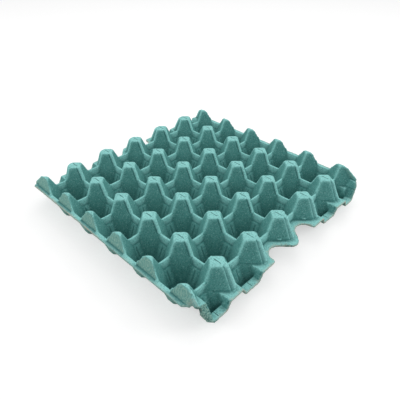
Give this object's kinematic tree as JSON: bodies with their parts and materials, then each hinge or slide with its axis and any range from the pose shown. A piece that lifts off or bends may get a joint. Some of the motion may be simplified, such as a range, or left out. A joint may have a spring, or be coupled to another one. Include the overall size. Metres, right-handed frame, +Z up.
{
  "type": "pulp egg tray",
  "caption": "Square moulded pulp tray with rows of egg cells between tapered posts, flanged sides and finger notches in the rim.",
  "frame": {"origin": "centre of the underside, on the plane of the cell floors", "axes": "+Z up out of the cells, +X along the rows of five cells, +Y along the rows of six"},
  "size_m": [0.297, 0.29, 0.045],
  "materials": {
    "pulp": "matte, fibrous"
  },
  "bodies": {
    "root": {"egg_tray": "pulp"}
  },
  "joints": []
}
